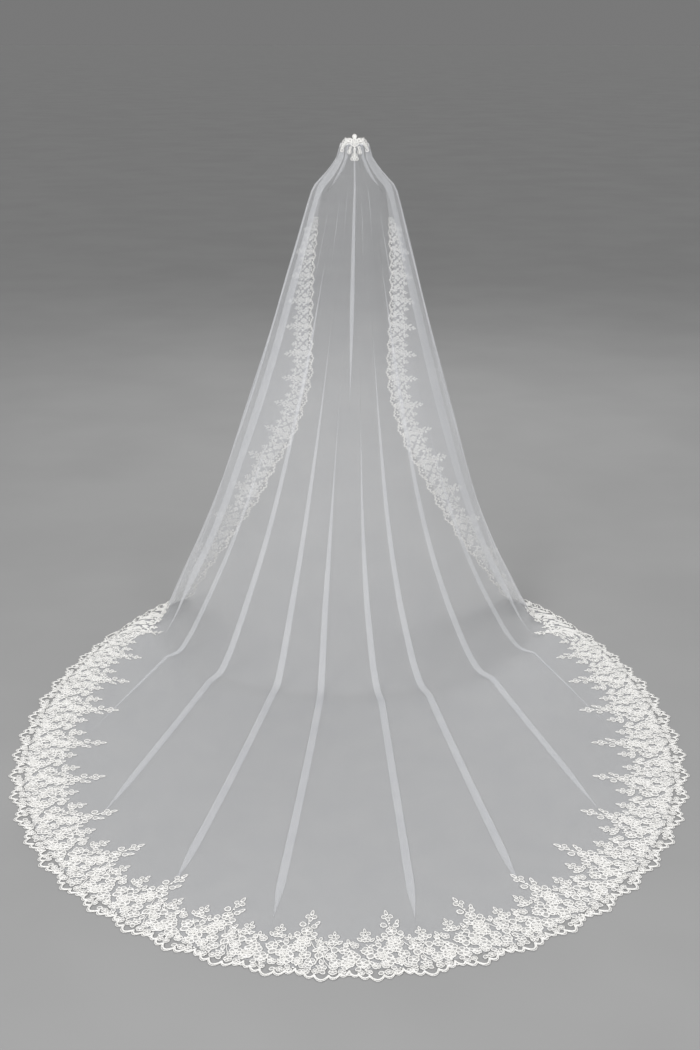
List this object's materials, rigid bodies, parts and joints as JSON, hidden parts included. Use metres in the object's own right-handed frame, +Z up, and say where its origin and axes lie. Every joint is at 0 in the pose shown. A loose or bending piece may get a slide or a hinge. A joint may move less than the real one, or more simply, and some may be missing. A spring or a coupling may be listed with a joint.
{
  "type": "bridal veil",
  "caption": "Long one-tier tulle bridal veil in its worn shape, falling from a hair comb over the shoulders into an oval train, edged with floral corded lace.",
  "frame": {"origin": "middle of the comb bar at the back of the wearer's head, where the veil is held", "axes": "+Z up, +Y the way the wearer faces, the train lies toward -Y, the floor is 1.75 m below the origin"},
  "size_m": [2.0932, 2.4321, 1.786],
  "materials": {
    "tulle": "sheer soft white net",
    "lace": "corded floral lace, warm white",
    "comb_metal": "bright silver-tone metal"
  },
  "bodies": {
    "root": {"tulle_panel": "tulle", "front_lace_left": "lace", "front_lace_right": "lace", "hem_lace": "lace", "crown_lace": "lace", "hair_comb": "comb_metal"}
  },
  "joints": []
}
